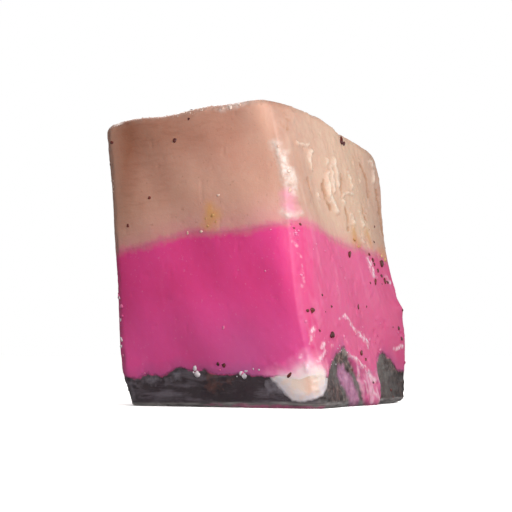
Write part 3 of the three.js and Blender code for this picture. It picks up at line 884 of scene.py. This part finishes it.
# What the knife tore up on the right wall, and the gaps beside it: strokes as in the smears.
TORN_FLAKES = (
    ((10.8, -7.9, 29.3, 0.24), (10.8, -8.2, 28.3, 0.28), (10.9, -7.9, 27.3, 0.20)),
    ((11.0, -1.6, 29.0, 0.30), (11.1, -1.7, 28.2, 0.38), (11.2, -1.1, 27.5, 0.32),
     (11.4, -1.1, 25.9, 0.22)),
    ((11.2, -3.8, 27.2, 0.26), (11.3, -4.0, 26.0, 0.32), (11.4, -3.6, 24.6, 0.34),
     (11.5, -2.7, 23.6, 0.28), (11.6, -2.0, 22.8, 0.36)),
    ((11.1, -2.6, 28.1, 0.18), (11.3, -2.6, 26.5, 0.26), (11.4, -2.4, 25.3, 0.22)),
    ((11.2, 2.3, 27.8, 0.14), (11.3, 2.7, 26.8, 0.20), (11.4, 3.0, 26.1, 0.18)),
    ((11.5, 0.2, 25.0, 0.18), (11.5, 1.8, 25.3, 0.22), (11.5, 2.9, 25.2, 0.22)),
    ((11.5, -0.4, 24.4, 0.16), (11.6, 0.4, 23.9, 0.18)),
    ((11.7, 2.2, 22.9, 0.18), (11.8, 2.5, 22.2, 0.24), (11.9, 2.5, 21.3, 0.18)),
    ((11.3, -7.0, 24.5, 0.14), (11.3, -6.6, 24.0, 0.16)),
    ((11.0, 6.6, 27.7, 0.12), (11.1, 6.7, 27.0, 0.14)),
    ((11.0, 10.1, 30.3, 0.20), (11.0, 11.0, 29.6, 0.24), (11.1, 10.8, 28.5, 0.18),
     (11.2, 10.7, 27.6, 0.16)),
    ((10.6, -11.3, 29.9, 0.08), (10.7, -8.2, 30.2, 0.08)),
    ((10.9, -3.8, 28.8, 0.14), (11.0, -3.6, 28.4, 0.14)),
    ((12.0, 4.6, 20.4, 0.12), (12.1, 5.0, 19.4, 0.14)),
    ((11.6, 5.0, 23.6, 0.10), (11.7, 5.4, 22.6, 0.14), (11.8, 5.6, 21.8, 0.10)),
)
TORN_GAPS = (
    ((11.2, -5.0, 26.3, 0.14), (11.3, -5.1, 25.1, 0.18), (11.4, -4.7, 24.0, 0.18),
     (11.5, -3.8, 23.0, 0.14)),
    ((11.2, 0.1, 27.6, 0.10), (11.3, 0.1, 26.4, 0.12), (11.5, -0.5, 25.1, 0.10)),
    ((10.8, 7.1, 29.6, 0.10), (10.9, 8.2, 28.4, 0.14), (11.1, 8.9, 26.8, 0.14), (11.2, 8.8, 25.6, 0.10)),
    ((11.7, 0.5, 23.4, 0.10), (11.8, 0.9, 22.0, 0.12), (11.9, 0.6, 20.8, 0.12)),
    ((10.2, -12.3, 32.6, 0.10), (10.5, -12.7, 31.2, 0.13)),
    ((11.3, 11.3, 26.6, 0.14), (11.6, 12.5, 22.5, 0.16), (11.7, 12.7, 21.1, 0.12)),
    ((11.6, 6.0, 24.1, 0.10), (11.8, 6.8, 22.1, 0.12)),
    ((11.2, -9.6, 26.0, 0.07), (11.4, -9.0, 24.0, 0.08)),
)
# Pink that the knife carried up the ridge.
PINK_SMEAR = (
    ((10.3, -13.4, 24.1, 0.36), (10.6, -13.3, 23.2, 0.52), (11.0, -13.0, 22.4, 0.48),
     (11.2, -12.9, 22.0, 0.36)),
)
# Where sugar caramelised in patches near the pink.
HONEY_PATCHES = (
    ((0.6, -13.1, 22.8, 0.40), (0.9, -13.2, 21.8, 0.75), (0.2, -13.0, 20.7, 0.55),
     (1.1, -13.1, 20.3, 0.25)),
    ((12.1, 2.1, 20.2, 0.70), (12.1, 3.0, 19.0, 0.85)),
    ((12.3, 11.6, 18.4, 0.70), (12.3, 10.2, 18.5, 0.60)),
    ((11.9, 6.6, 20.6, 0.30), (12.0, 7.4, 19.6, 0.35)),
)
uneven = 0.16 * lumps(skin, 0.6) + 0.12 * lumps(skin, 0.3)
flakes = depth_in_strokes(TORN_FLAKES, WALL_WEIGHTS) + uneven
gaps = depth_in_strokes(TORN_GAPS, WALL_WEIGHTS) + uneven
flake_rise = 0.26 * ease(flakes, -0.16, 0.30) * (0.8 + 0.6 * lumps(skin, 0.5))
gap_depth = 0.20 * ease(gaps, -0.12, 0.16)
skin += facing * (flake_rise - gap_depth)[:, None]
# Painted shade: the front wall browns toward its far end, less near the pink; it is also browner along its
# top.
browning_and_shade = 0.6 * ease(skin[:, 0], 3.0, -14.0) + 0.4 * ease(skin[:, 0], -7.5, -12.5)
browning_and_shade *= 0.65 + 0.35 * ease(over_pink, 3.0, 10.0)
browning_and_shade += 0.40 * ease(skin[:, 0], -9.5, -12.5)
browning_and_shade += 0.35 * ease(skin[:, 2], 27.5, 31.5) * ease(skin[:, 0], 6.5, 3.0)
traits |= {
    "flake": flakes,
    "gap": gaps,
    "honey": depth_in_strokes(HONEY_PATCHES, (1, 1, 1)) + 1.5 * uneven,
    "browned_and_shaded": on_front * np.clip(0.88 * browning_and_shade + 0.05 * lumps(skin, 2.0), 0, 1),
    # Painted light: the front wall is paler high up toward the ridge.
    "lighter": on_front * ease(skin[:, 0], 4.0, 8.5) * ease(skin[:, 2], 25.0, 31.0),
    "rosy_haze": on_front * ease(over_pink, 5.0, 0.5) * (0.45 + 0.55 * ease(skin[:, 0], 3.0, 9.0)),
    # Painted light: the right wall is paler toward its back.
    "far_side_painted_light": on_right * ease(behind_front, 6.0, 18.0),
    "pinked": depth_in_strokes(PINK_SMEAR, RIDGE_WEIGHTS) + uneven,
}

# Caramel fudge, cut: satin tan, with veins and scorched freckles, browner along the top of the front wall
# and, in painted shade, toward its far end. The right wall's pale film is partly dried and partly painted
# sheen, and the torn flakes are paler, partly painted highlight, with painted shade in the gaps beside
# them.
caramel, tree, place = new_material("caramel_fudge_cut")
edge, dry_and_sheen, browned_and_shaded, ridge, flake, paste_and_glint_depth, pink_gap = (
    add(tree, "Attribute", {"attribute_name": trait}, {}, 2)
    for trait in ("edge", "dry_and_sheen", "browned_and_shaded", "ridge", "flake", "smeared_and_glint", "over_pink")
)
cloud = add(tree, "TexNoise", {}, {"Vector": place, "Scale": 1 / 6.0, "Detail": 4.0, "Roughness": 0.6})
vein_place = add(tree, "VectorMath", {"operation": "MULTIPLY"}, {0: place, 1: (0.25, 0.6, 1.0)})
vein = {"Vector": vein_place, "Scale": 1 / 0.55, "Detail": 4.0, "Distortion": 0.8}
vein = add(tree, "TexNoise", {}, vein)
vein = add(tree, "MapRange", {}, {"Value": vein, "From Min": 0.48, "From Max": 0.70})
vein = add(tree, "Math", {"operation": "MULTIPLY"}, {0: vein, 1: browned_and_shaded})
# Brown freckles of scorched milk, 0.2 to 0.5 mm across.
freckle = add(tree, "TexNoise", {}, {"Vector": place, "Scale": 1 / 0.55, "Detail": 2.0})
patchy = add(tree, "TexNoise", {}, {"Vector": place, "Scale": 1 / 1.3, "Detail": 3.0})
patchy = add(tree, "MapRange", {}, {"Value": patchy, "From Min": 0.3, "From Max": 0.65, "To Max": 0.35})
# Paler along the edges: partly rubbed wear, partly painted highlight.
worn = add(tree, "Math", {"operation": "MULTIPLY"}, {0: edge, 1: patchy})
film_and_sheen = dried_film_and_sheen(tree, place, dry_and_sheen)
# Painted shade by the upright edges, patchy.
ridge = add(tree, "Math", {"operation": "MULTIPLY_ADD"}, {0: ridge, 1: patchy, 2: ridge})
ridge = add(tree, "Math", {"operation": "MULTIPLY"}, {0: ridge, 1: 0.55})
flake = add(tree, "MapRange", {}, {"Value": flake, "From Min": -0.10, "From Max": 0.25})
mottle = add(tree, "TexNoise", {}, {"Vector": place, "Scale": 1 / 0.7, "Detail": 4.0, "Roughness": 0.65})
mottle = add(tree, "MapRange", {}, {"Value": mottle, "From Min": 0.38, "From Max": 0.56, "To Min": 0.45})
# Pale paste, and the painted white glint on the ridge.
smear_and_glint = {"Value": paste_and_glint_depth, "From Min": -0.35, "From Max": 0.35, "To Max": 0.85}
smear_and_glint = add(tree, "MapRange", {}, smear_and_glint)
smear_and_glint = add(tree, "Math", {"operation": "MULTIPLY"}, {0: smear_and_glint, 1: mottle})
blush = add(tree, "Math", {"operation": "MULTIPLY_ADD"}, {0: patchy, 1: -2.5, 2: pink_gap})
colour = stained(
    tree,
    linear("#CE9380"),
    (cloud, 0.33, 0.67, 1.0, "#D9A490"),
    # Painted shade toward the front wall's far end, and browner along the top.
    (browned_and_shaded, 0, 1, 1.0, "#A5644A"),
    (vein, 0, 1, 0.50, "#93533A"),
    # Painted light high on the front wall by the ridge.
    ("lighter", 0, 1, 0.45, "#F4C3AA"),
    ("rosy_haze", 0, 1, 0.75, "#E2A49F"),
    (freckle, 0.66, 0.74, 0.35, "#9C6650"),
    (worn, 0, 1, 1.0, "#F3D5C4"),
    # Painted glow by the upright edges.
    ("thin", 0, 1, 0.30, "#EBBFA8"),
    # The pale film, partly painted sheen.
    (film_and_sheen, 0, 1, 1.0, "#DCBFA4"),
    # Painted light toward the back of the right wall.
    ("far_side_painted_light", 0, 1, 0.25, "#F2D6B6"),
    (ridge, 0, 1, 1.0, "#B08676"),
    ("drag", -0.1, -0.8, 0.16, "#C9906C"),
    ("drag", 0.15, 0.8, 0.14, "#F5E0CD"),
    # Painted shade in the gaps beside the torn flakes.
    ("gap", -0.15, 0.12, 0.75, "#AD7855"),
    # The torn flakes are paler, partly painted highlight.
    (flake, 0, 1, 0.55, "#F8E5D2"),
    ("honey", -0.80, 0.45, 0.75, "#D99C58"),
    ("pinked", -0.50, 0.35, 0.75, "#EF93B2"),
    (blush, 1.6, -1.6, 0.55, "#D9808F"),
)
colour = stained(
    tree,
    linear(PINK),
    (share_over(tree, place, "over_pink", 1.4), 0, 1, 1.0, colour),
    (smear_and_glint, 0, 1, 1.0, "#E3D2C8"),
)
shine = add(tree, "MapRange", {}, {"Value": film_and_sheen, "To Min": 0.44, "To Max": 0.60})
shine = add(tree, "Math", {"operation": "MULTIPLY_ADD"}, {0: edge, 1: 0.14, 2: shine})
wet = add(tree, "Math", {"operation": "MAXIMUM"}, {0: flake, 1: smear_and_glint})
shine = add(tree, "Math", {"operation": "MULTIPLY_ADD"}, {0: wet, 1: -0.20, 2: shine})
close_fudge(tree, place, colour, shine, 0.25, 0.5, 0.06)

caramel_cells = np.concatenate([wall_cells(caramel_ring, top_ring), top_cells])
top_layer = layer_of("caramel_layer_cut", caramel_cells, [(caramel_ring, caramel_line, -1)], caramel)
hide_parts("caramel_layer")

# ==========================================================================================
# The crumbs that the knife left on the walls and edges: broken bits of chocolate, of pale
# and pink fudge, and golden bits of caramelised sugar, each half sunk in the soft fudge.
# ==========================================================================================

draw = np.random.default_rng(11)
BROKEN_SIDES = 6
FLATTENED = 0.55           # share of a grain's height that is gone, since it lies on its flat side
BALL_SIZE = 1.4            # what is left of a ball of radius 1 once its sides are broken off
PROUD = 0.02               # share of its size that a grain's middle stands over the skin
ball = bmesh.new()
bmesh.ops.create_icosphere(ball, subdivisions=2, radius=1)
ball_points = np.array([tuple(vertex.co) for vertex in ball.verts])
ball_faces = np.array([[vertex.index for vertex in face.verts] for face in ball.faces])
ball.free()
facing = normals_of(skin)


def broken_grain(size, out):
    """The points of a grain with flat broken sides, lying flat on a face that looks out."""
    points = ball_points * draw.uniform(0.55, 1.35, 3)
    for _ in range(BROKEN_SIDES):
        way = draw.normal(size=3)
        way /= np.linalg.norm(way)
        points -= np.maximum(points @ way - draw.uniform(0.35, 0.75), 0)[:, None] * way
    turned = points @ np.linalg.qr(draw.normal(size=(3, 3)))[0]
    flattened = turned - FLATTENED * (turned @ out)[:, None] * out
    return flattened * size / BALL_SIZE


near_line = np.exp(-((over_pink / 2.5) ** 2))
in_pink = ease(over_base, -0.2, 0.4) * ease(over_pink, 0.2, -0.4)
in_caramel = ease(over_pink, -0.2, 0.6)
at_edge = ease(edge_gap, 1.0, 0.1)
at_base_line = np.exp(-((over_base / 0.5) ** 2)) * on_wall
heaped = ease(lumps(skin + 30, 3.0) + 0.5 * lumps(skin + 60, 1.2), 0.05, 0.7)

by_pink_smear = ease(traits["pinked"], -0.3, -0.8)
above_foot = skin_t > 0.04
chocolate_likely = (
    0.02
    + 0.12 * on_right * near_line * ease(skin[:, 1], 2.0, 8.0)
    + 0.05 * on_right * in_pink
    + 0.2 * on_back
    + 0.6 * on_top * heaped**2
)
chocolate_likely = chocolate_likely * (1 - 0.995 * on_front) * outside_fold
chocolate_likely = chocolate_likely * ease(smeared_and_glint, -0.2, -0.6) * by_pink_smear

# Each kind: name, dark and light colour, slot, smallest and largest mm, how many scattered,
# where they are likely, and the ones that show plainest: (x, y, z, size) in mm.
CRUMBS = (
    ("chocolate_crumbs", "#401319", "#7A342A", "marbled_fudge", 0.14, 0.45, 110, chocolate_likely,
     ((-4.0, -13.4, 30.9, 0.50), (-12.9, -12.7, 31.2, 0.40), (-7.7, -12.7, 24.4, 0.35),
      (-10.8, -12.6, 21.2, 0.40), (-2.0, -13.6, 33.1, 0.30), (10.6, 1.7, 31.8, 0.75),
      (10.8, 2.4, 31.5, 0.50), (12.1, 0.4, 18.0, 0.90), (12.4, 9.9, 17.3, 0.75),
      (12.9, 10.2, 15.1, 0.70), (12.8, 10.9, 14.9, 0.45), (12.4, 7.2, 17.6, 0.55),
      (13.3, -8.0, 8.2, 0.75), (12.5, -12.3, 10.9, 0.35), (12.7, -11.6, 10.8, 0.55),
      (12.8, 1.6, 11.7, 0.50), (12.9, -9.5, 12.8, 0.30), (14.2, 11.1, 9.2, 0.45),
      (14.3, 11.8, 8.0, 0.50), (13.9, 12.6, 11.5, 0.40), (11.7, -12.4, 20.7, 0.28),
      (11.2, -13.0, 20.2, 0.22), (10.5, -12.8, 3.6, 0.45), (1.6, -13.0, 5.0, 0.50),
      (2.3, -13.1, 4.8, 0.40), (13.2, -10.5, 8.6, 0.30), (14.0, 2.8, 2.7, 0.35),
      (12.8, 5.4, 14.6, 0.30), (13.6, 0.0, 6.1, 0.40), (13.7, 0.9, 5.2, 0.45),
      (12.4, 6.4, 18.2, 0.45), (12.5, 7.7, 17.0, 0.45), (12.7, 8.6, 16.2, 0.50),
      (12.8, 9.4, 15.8, 0.55), (12.8, 6.9, 14.8, 0.55), (13.9, -3.2, 4.3, 0.35),
      (14.0, 4.6, 0.9, 0.30), (14.1, 9.0, 1.6, 0.40))),
    ("pale_crumbs", "#DDB29C", "#F2D9CA", "caramel_fudge", 0.10, 0.24, 90,
     (0.01 + 1.4 * at_edge * in_caramel) * (0.02 + heaped**2) * above_foot
     * ease(on_ridge, 0.0, -0.8) * by_pink_smear,
     ((-2.7, -12.5, 20.0, 0.35), (-0.8, -12.8, 20.0, 0.30), (1.8, -13.4, 24.1, 0.35),
      (3.5, -13.7, 34.2, 0.50), (2.4, -13.7, 34.0, 0.40), (4.7, -13.8, 34.3, 0.40),
      (9.6, -14.1, 29.3, 0.35), (10.9, -13.7, 26.4, 0.35), (11.0, -13.5, 24.3, 0.35))),
    ("milky_crumbs", "#B9B1B7", "#F0E2E5", "marbled_fudge", 0.10, 0.20, 24,
     (0.6 * at_base_line + 0.5 * at_edge * in_pink) * (0.02 + heaped**2) * above_foot * outside_fold,
     ((-1.6, -12.6, 4.3, 0.65), (-1.4, -12.6, 3.8, 0.75), (4.4, -13.0, 3.8, 0.45),
      (4.8, -12.9, 3.6, 0.70), (5.1, -12.9, 4.1, 0.30), (5.9, -12.9, 4.3, 0.20),
      (6.6, -12.9, 4.4, 0.20), (-2.0, -12.6, 4.0, 0.25), (-11.9, -11.9, 7.8, 0.60),
      (-11.9, -11.8, 6.9, 0.45), (-12.1, -11.9, 10.1, 0.35), (-12.2, -11.9, 12.6, 0.35))),
    ("pink_crumbs", "#D6548C", "#EF8FB4", "pink_fudge", 0.14, 0.40, 110,
     (0.02 + 1.2 * at_edge + 0.5 * at_base_line + 0.1 * on_right) * (0.1 + heaped) * in_pink
     * ease(folded_cream, -1.0, -3.0),
     ((-11.8, -12.1, 11.7, 0.60), (-11.7, -12.0, 10.6, 0.40), (12.3, -7.4, 17.8, 0.35),
      (13.2, -3.5, 10.2, 0.35), (13.4, -0.8, 8.3, 0.35))),
    ("golden_bits", "#BC8752", "#DCB27C", "caramel_fudge", 0.20, 0.40, 10,
     (0.002 + on_right * ease(skin[:, 1], 1.0, 6.0) + on_back) * near_line * in_caramel,
     ((0.9, -13.2, 21.9, 0.40), (0.2, -13.0, 20.7, 0.35), (1.3, -13.2, 21.1, 0.25),
      (-0.1, -13.1, 21.6, 0.22), (12.1, 2.1, 19.8, 0.45), (12.1, 3.0, 19.0, 0.40),
      (12.3, 11.4, 17.8, 0.50), (12.3, 10.6, 18.2, 0.35))),
)
for name, dark, light, slot, smallest, largest, scattered, likely, placed in CRUMBS:
    spots = [int(np.argmin(((skin - np.array(spot[:3])) ** 2).sum(1))) for spot in placed]
    spots += list(draw.choice(len(skin), scattered, p=likely / likely.sum()))
    grain_sizes = [spot[3] for spot in placed]
    grain_sizes += list(smallest + (largest - smallest) * draw.random(scattered) ** 2)
    points = [
        broken_grain(size, facing[spot]) + skin[spot] + facing[spot] * size * PROUD
        for spot, size in zip(spots, grain_sizes)
    ]
    firsts = np.arange(len(points))[:, None, None] * len(ball_points)
    # Broken fudge and burnt sugar: satin, each grain a little darker or lighter than the next.
    material, tree, place = new_material(name + "_broken")
    tint = add(tree, "TexNoise", {}, {"Vector": place, "Scale": 1 / 1.1, "Detail": 2.0})
    colour = stained(tree, linear(dark), (tint, 0.35, 0.65, 1.0, light))
    surface = add(tree, "BsdfPrincipled", {}, {"Base Color": colour, "Roughness": 0.45, "IOR": 1.46})
    add(tree, "OutputMaterial", {}, {"Surface": surface})
    points = np.concatenate(points)
    points[:, 2] = np.maximum(points[:, 2], 0)
    crumbs = piece_of(name, points, [(ball_faces + firsts).reshape(-1, 3)], material)

# ==========================================================================================
# The floor: a wide, plain sheet of pale matt card that the block stands on. The card has no
# gloss at all, so it stays evenly pale from every side.
# ==========================================================================================

FLOOR_REACH = 4.0                      # m, from its middle to its sides
FLOOR_DROP = 0.00002                   # m, keeps the card from showing through the foot
card, tree, place = new_material("pale_card_matt")
matt = {"Base Color": linear("#F4F3F1"), "Roughness": 1.0, "Specular IOR Level": 0.0}
surface = add(tree, "BsdfPrincipled", {}, matt)
add(tree, "OutputMaterial", {}, {"Surface": surface})
floor_mesh = bpy.data.meshes.new("floor")
floor_corners = [(x * FLOOR_REACH, y * FLOOR_REACH, 0) for x, y in ((-1, -1), (1, -1), (1, 1), (-1, 1))]
floor_mesh.from_pydata(floor_corners, [], [(0, 1, 2, 3)])
floor_mesh.materials.append(card)
floor = bpy.data.objects.new("floor", floor_mesh)
floor.location.z = -FLOOR_DROP
bpy.context.scene.collection.objects.link(floor)
# The bright card doesn't light the walls from below or show in their gloss.
floor.visible_diffuse = False
floor.visible_glossy = False

# ==========================================================================================
# The light: a small soft lamp near the front right edge, which leaves the front wall's far end
# dimmer, a weak one for the right wall and one from behind. A lamp for the card alone and pale
# surroundings do the rest.
# ==========================================================================================

# Each lamp: name, place and width in m, and power in W.
LAMP_TARGET = Vector((0.0, 0.0, 0.015))
for lamp_name, lamp_place, lamp_size, lamp_power in (
    ("soft_lamp", Vector((0.046, -0.052, 0.037)), 0.050, 0.0385),
    ("side_lamp", Vector((0.090, 0.060, 0.040)), 0.08, 0.036),
    ("back_lamp", Vector((-0.110, 0.120, 0.130)), 0.12, 0.25),
):
    lamp_data = bpy.data.lights.new(lamp_name, "AREA")
    lamp_data.shape = "DISK"
    lamp_data.size = lamp_size
    lamp_data.energy = lamp_power
    lamp = bpy.data.objects.new(lamp_name, lamp_data)
    lamp.location = lamp_place
    lamp.rotation_euler = (LAMP_TARGET - lamp_place).to_track_quat("-Z", "Y").to_euler()
    lamp.visible_camera = False
    bpy.context.scene.collection.objects.link(lamp)

# A lamp straight above that lights the card alone, evenly out to the horizon.
CARD_LIGHT = 2.7                       # W per square metre
lit_card = bpy.data.collections.new("lit_card")
lit_card.objects.link(floor)
card_lamp_data = bpy.data.lights.new("card_lamp", "SUN")
card_lamp_data.energy = CARD_LIGHT
card_lamp_data.angle = math.radians(20)
card_lamp = bpy.data.objects.new("card_lamp", card_lamp_data)
card_lamp.light_linking.receiver_collection = lit_card
bpy.context.scene.collection.objects.link(card_lamp)

# The room is dimmer as a light than as the white that the camera sees.
ROOM_LIGHT = 0.28
ROOM_SEEN = 1.0
world = bpy.data.worlds.new("pale_room")
bpy.context.scene.world = world
world.use_nodes = True
tree = world.node_tree
tree.nodes.clear()
seen = add(tree, "LightPath", {}, {}, 0)
strength = add(tree, "MapRange", {}, {"Value": seen, "To Min": ROOM_LIGHT, "To Max": ROOM_SEEN})
sky = add(tree, "Background", {}, {"Color": linear("#FFFFFF"), "Strength": strength})
add(tree, "OutputWorld", {}, {"Surface": sky})

bpy.context.scene.view_settings.view_transform = "Standard"

# ==========================================================================================
# The camera: low and to the right of the front, as the photograph sees the two walls, with
# nothing out of focus.
# ==========================================================================================

CAMERA_TARGET = Vector((0, 0, 18)) * MM
CAMERA_PLACE = Vector((83.12, -170.43, 6.0)) * MM
camera_data = bpy.data.cameras.new("camera")
camera_data.lens = 109.4
camera_data.clip_start = 0.01
camera = bpy.data.objects.new("camera", camera_data)
camera.location = CAMERA_PLACE
camera.rotation_euler = (CAMERA_TARGET - CAMERA_PLACE).to_track_quat("-Z", "Y").to_euler()
bpy.context.scene.collection.objects.link(camera)
bpy.context.scene.camera = camera
